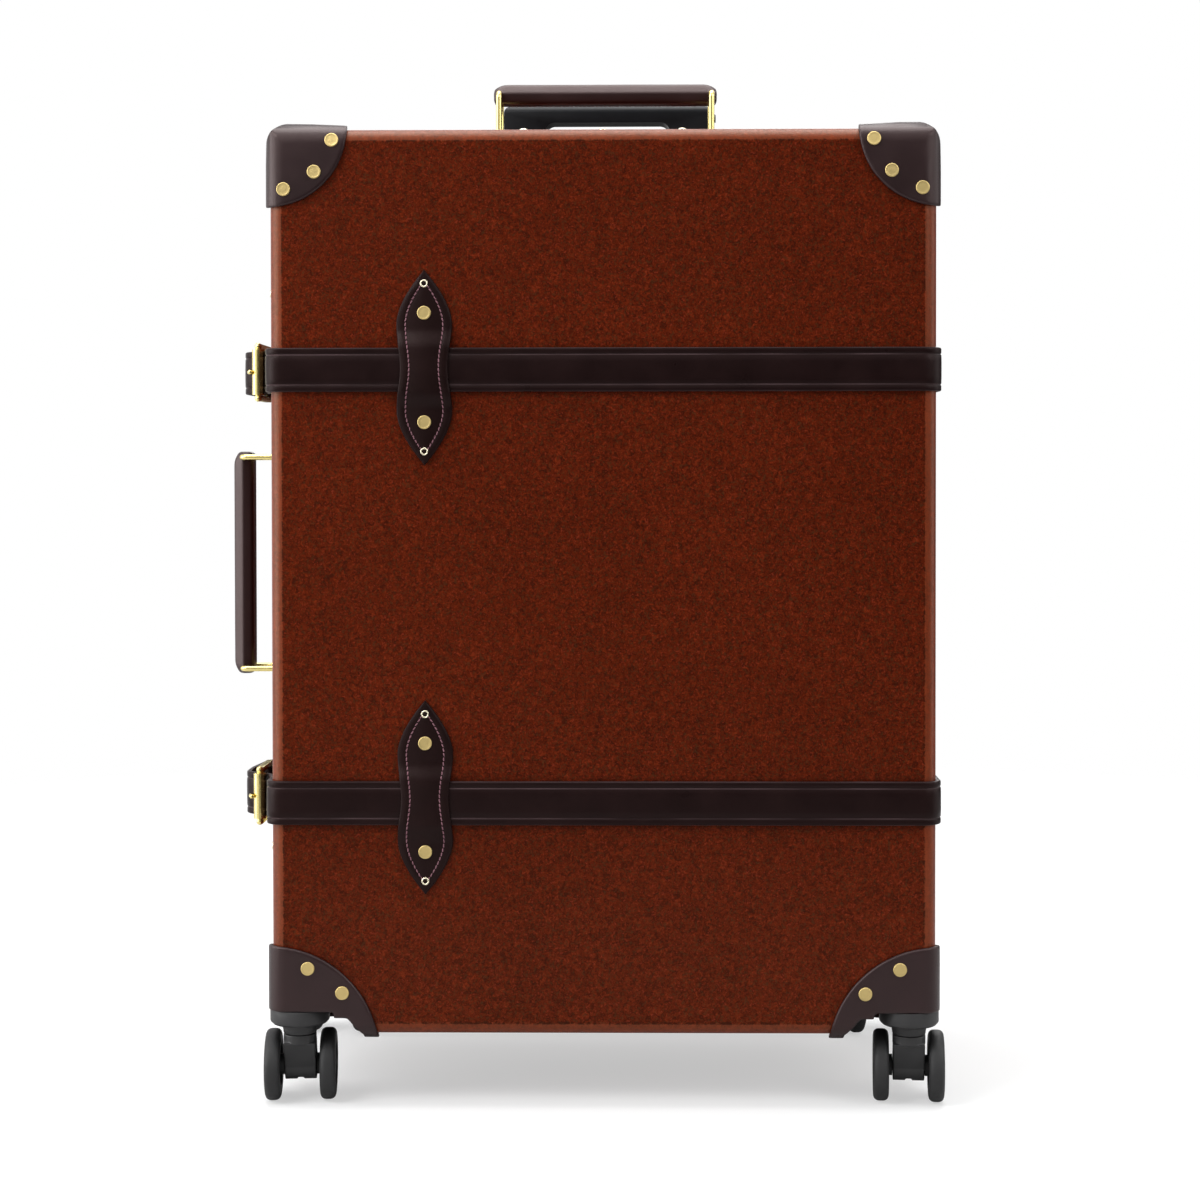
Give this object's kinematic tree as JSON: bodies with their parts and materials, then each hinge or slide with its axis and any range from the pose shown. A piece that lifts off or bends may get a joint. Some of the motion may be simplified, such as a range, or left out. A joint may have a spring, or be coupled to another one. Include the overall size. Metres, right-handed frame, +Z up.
{
  "type": "spinner suitcase",
  "caption": "Trunk-style spinner suitcase: hinged fibreboard shells, leather caps and straps, locks, pull handle and swivelling twin-wheel casters.",
  "frame": {"origin": "on the floor under the middle of the outline, side handle included", "axes": "+Z up, the front (lid) faces -Y, the side handle and locks are on -X, the hinges on +X"},
  "size_m": [0.5643, 0.283, 0.7953],
  "materials": {
    "fibreboard": "mottled vulcanised fibreboard, waxed to a satin gloss",
    "frame_metal": "satin anodised",
    "lining": "plain woven lining",
    "leather": "dark brown smooth leather, waxed",
    "wheel_rubber": "matt polyurethane",
    "black_plastic": "fine-grained moulded plastic",
    "tube_metal": "brushed and anodised",
    "brass": "satin brass"
  },
  "bodies": {
    "base": {"rear_shell": "fibreboard", "rear_frame": "frame_metal", "rear_lining": "lining", "rear_corner_caps": "leather", "rear_rivets": "brass", "rear_wheel_bays": "black_plastic", "rear_caster_cups": "black_plastic", "trolley_bezel": "black_plastic", "trolley_outer_tubes": "tube_metal", "trolley_foot": "black_plastic", "top_handle_grip": "leather", "top_handle_loops": "brass", "side_handle_grip": "leather", "side_handle_loops": "brass", "handle_plates": "brass", "rear_straps": "leather", "strap_bridges": "leather", "rear_patches": "leather", "hinge_rear_leaves": "brass", "hinge_pins": "brass", "lock_cases": "brass"},
    "lid": {"front_shell": "fibreboard", "front_frame": "frame_metal", "front_lining": "lining", "front_corner_caps": "leather", "front_rivets": "brass", "front_wheel_bays": "black_plastic", "front_caster_cups": "black_plastic", "front_straps": "leather", "strap_tips": "leather", "front_patches": "leather", "small_screws": "brass", "hinge_front_leaves": "brass", "lock_plates": "brass"},
    "trolley_stage_1": {"trolley_middle_tubes": "tube_metal"},
    "trolley_stage_2": {"trolley_inner_tubes": "tube_metal", "trolley_grip": "black_plastic"},
    "grip_button": {"trolley_button": "tube_metal"},
    "hasp_upper": {"hasp_upper": "brass"},
    "lock_button_upper": {"lock_button_upper": "brass"},
    "buckle_frame_upper": {"buckle_frame_upper": "brass"},
    "buckle_roller_upper": {"buckle_roller_upper": "brass"},
    "buckle_prong_upper": {"buckle_prong_upper": "brass"},
    "hasp_lower": {"hasp_lower": "brass"},
    "lock_button_lower": {"lock_button_lower": "brass"},
    "buckle_frame_lower": {"buckle_frame_lower": "brass"},
    "buckle_roller_lower": {"buckle_roller_lower": "brass"},
    "buckle_prong_lower": {"buckle_prong_lower": "brass"},
    "caster_front_left": {"caster_fork_front_left": "black_plastic"},
    "wheel_front_left_outer": {"wheel_front_left_outer": "wheel_rubber"},
    "wheel_front_left_inner": {"wheel_front_left_inner": "wheel_rubber"},
    "caster_front_right": {"caster_fork_front_right": "black_plastic"},
    "wheel_front_right_inner": {"wheel_front_right_inner": "wheel_rubber"},
    "wheel_front_right_outer": {"wheel_front_right_outer": "wheel_rubber"},
    "caster_rear_left": {"caster_fork_rear_left": "black_plastic"},
    "wheel_rear_left_inner": {"wheel_rear_left_inner": "wheel_rubber"},
    "wheel_rear_left_outer": {"wheel_rear_left_outer": "wheel_rubber"},
    "caster_rear_right": {"caster_fork_rear_right": "black_plastic"},
    "wheel_rear_right_outer": {"wheel_rear_right_outer": "wheel_rubber"},
    "wheel_rear_right_inner": {"wheel_rear_right_inner": "wheel_rubber"}
  },
  "joints": [
    {"name": "lid_hinge", "type": "hinge", "parent": "base", "child": "lid", "pos_m": [0.27755, -0.027, 0.3985], "axis": [0, 0, 1], "range_deg": [0, 170], "deforming": ["strap_tips", "strap_bridges"]},
    {"name": "trolley_stage_1_slide", "type": "slide", "parent": "base", "child": "trolley_stage_1", "axis": [0, 0, 1], "range_m": [0, 0.16]},
    {"name": "trolley_stage_2_slide", "type": "slide", "parent": "trolley_stage_1", "child": "trolley_stage_2", "axis": [0, 0, 1], "range_m": [0, 0.16]},
    {"name": "grip_button_press", "type": "slide", "parent": "trolley_stage_2", "child": "grip_button", "axis": [0, 0, -1], "range_m": [0, 0.003], "stiffness_N_per_m": 300, "springref_m": -0.002},
    {"name": "hasp_upper_hinge", "type": "hinge", "parent": "lid", "child": "hasp_upper", "pos_m": [-0.23665, -0.049, 0.6175], "axis": [0, 0, 1], "range_deg": [0, 110]},
    {"name": "lock_button_upper_slide", "type": "slide", "parent": "base", "child": "lock_button_upper", "axis": [0, 0, 1], "range_m": [0, 0.004], "stiffness_N_per_m": 300, "springref_m": -0.002},
    {"name": "buckle_frame_upper_hinge", "type": "hinge", "parent": "base", "child": "buckle_frame_upper", "pos_m": [-0.24565, -0.055, 0.5591], "axis": [0, 0, -1], "range_deg": [0, 75]},
    {"name": "buckle_roller_upper_spin", "type": "hinge", "parent": "buckle_frame_upper", "child": "buckle_roller_upper", "pos_m": [-0.24565, -0.099, 0.5591], "axis": [0, 0, 1], "continuous": true},
    {"name": "buckle_prong_upper_hinge", "type": "hinge", "parent": "buckle_frame_upper", "child": "buckle_prong_upper", "pos_m": [-0.24565, -0.055, 0.5591], "axis": [0, 0, -1], "range_deg": [0, 90]},
    {"name": "hasp_lower_hinge", "type": "hinge", "parent": "lid", "child": "hasp_lower", "pos_m": [-0.23665, -0.049, 0.198], "axis": [0, 0, 1], "range_deg": [0, 110]},
    {"name": "lock_button_lower_slide", "type": "slide", "parent": "base", "child": "lock_button_lower", "axis": [0, 0, 1], "range_m": [0, 0.004], "stiffness_N_per_m": 300, "springref_m": -0.002},
    {"name": "buckle_frame_lower_hinge", "type": "hinge", "parent": "base", "child": "buckle_frame_lower", "pos_m": [-0.24565, -0.055, 0.2329], "axis": [0, 0, -1], "range_deg": [0, 75]},
    {"name": "buckle_roller_lower_spin", "type": "hinge", "parent": "buckle_frame_lower", "child": "buckle_roller_lower", "pos_m": [-0.24565, -0.099, 0.2329], "axis": [0, 0, 1], "continuous": true},
    {"name": "buckle_prong_lower_hinge", "type": "hinge", "parent": "buckle_frame_lower", "child": "buckle_prong_lower", "pos_m": [-0.24565, -0.055, 0.2329], "axis": [0, 0, -1], "range_deg": [0, 90]},
    {"name": "caster_front_left_swivel", "type": "hinge", "parent": "lid", "child": "caster_front_left", "pos_m": [-0.21245, -0.1161, 0.0565], "axis": [0, 0, 1], "continuous": true},
    {"name": "wheel_front_left_outer_spin", "type": "hinge", "parent": "caster_front_left", "child": "wheel_front_left_outer", "pos_m": [-0.23442, -0.10598, 0.027], "axis": [0.9962, 0.0872, 0], "continuous": true},
    {"name": "wheel_front_left_inner_spin", "type": "hinge", "parent": "caster_front_left", "child": "wheel_front_left_inner", "pos_m": [-0.19258, -0.10232, 0.027], "axis": [0.9962, 0.0872, 0], "continuous": true},
    {"name": "caster_front_right_swivel", "type": "hinge", "parent": "lid", "child": "caster_front_right", "pos_m": [0.25215, -0.1161, 0.0565], "axis": [0, 0, 1], "continuous": true},
    {"name": "wheel_front_right_inner_spin", "type": "hinge", "parent": "caster_front_right", "child": "wheel_front_right_inner", "pos_m": [0.23227, -0.10232, 0.027], "axis": [0.9962, -0.0872, 0], "continuous": true},
    {"name": "wheel_front_right_outer_spin", "type": "hinge", "parent": "caster_front_right", "child": "wheel_front_right_outer", "pos_m": [0.27411, -0.10598, 0.027], "axis": [0.9962, -0.0872, 0], "continuous": true},
    {"name": "caster_rear_left_swivel", "type": "hinge", "parent": "base", "child": "caster_rear_left", "pos_m": [-0.21245, 0.1161, 0.0565], "axis": [0, 0, 1], "continuous": true},
    {"name": "wheel_rear_left_inner_spin", "type": "hinge", "parent": "caster_rear_left", "child": "wheel_rear_left_inner", "pos_m": [-0.19258, 0.10232, 0.027], "axis": [-0.9962, 0.0872, 0], "continuous": true},
    {"name": "wheel_rear_left_outer_spin", "type": "hinge", "parent": "caster_rear_left", "child": "wheel_rear_left_outer", "pos_m": [-0.23442, 0.10598, 0.027], "axis": [-0.9962, 0.0872, 0], "continuous": true},
    {"name": "caster_rear_right_swivel", "type": "hinge", "parent": "base", "child": "caster_rear_right", "pos_m": [0.25215, 0.1161, 0.0565], "axis": [0, 0, 1], "continuous": true},
    {"name": "wheel_rear_right_outer_spin", "type": "hinge", "parent": "caster_rear_right", "child": "wheel_rear_right_outer", "pos_m": [0.27411, 0.10598, 0.027], "axis": [-0.9962, -0.0872, 0], "continuous": true},
    {"name": "wheel_rear_right_inner_spin", "type": "hinge", "parent": "caster_rear_right", "child": "wheel_rear_right_inner", "pos_m": [0.23227, 0.10232, 0.027], "axis": [-0.9962, -0.0872, 0], "continuous": true}
  ]
}
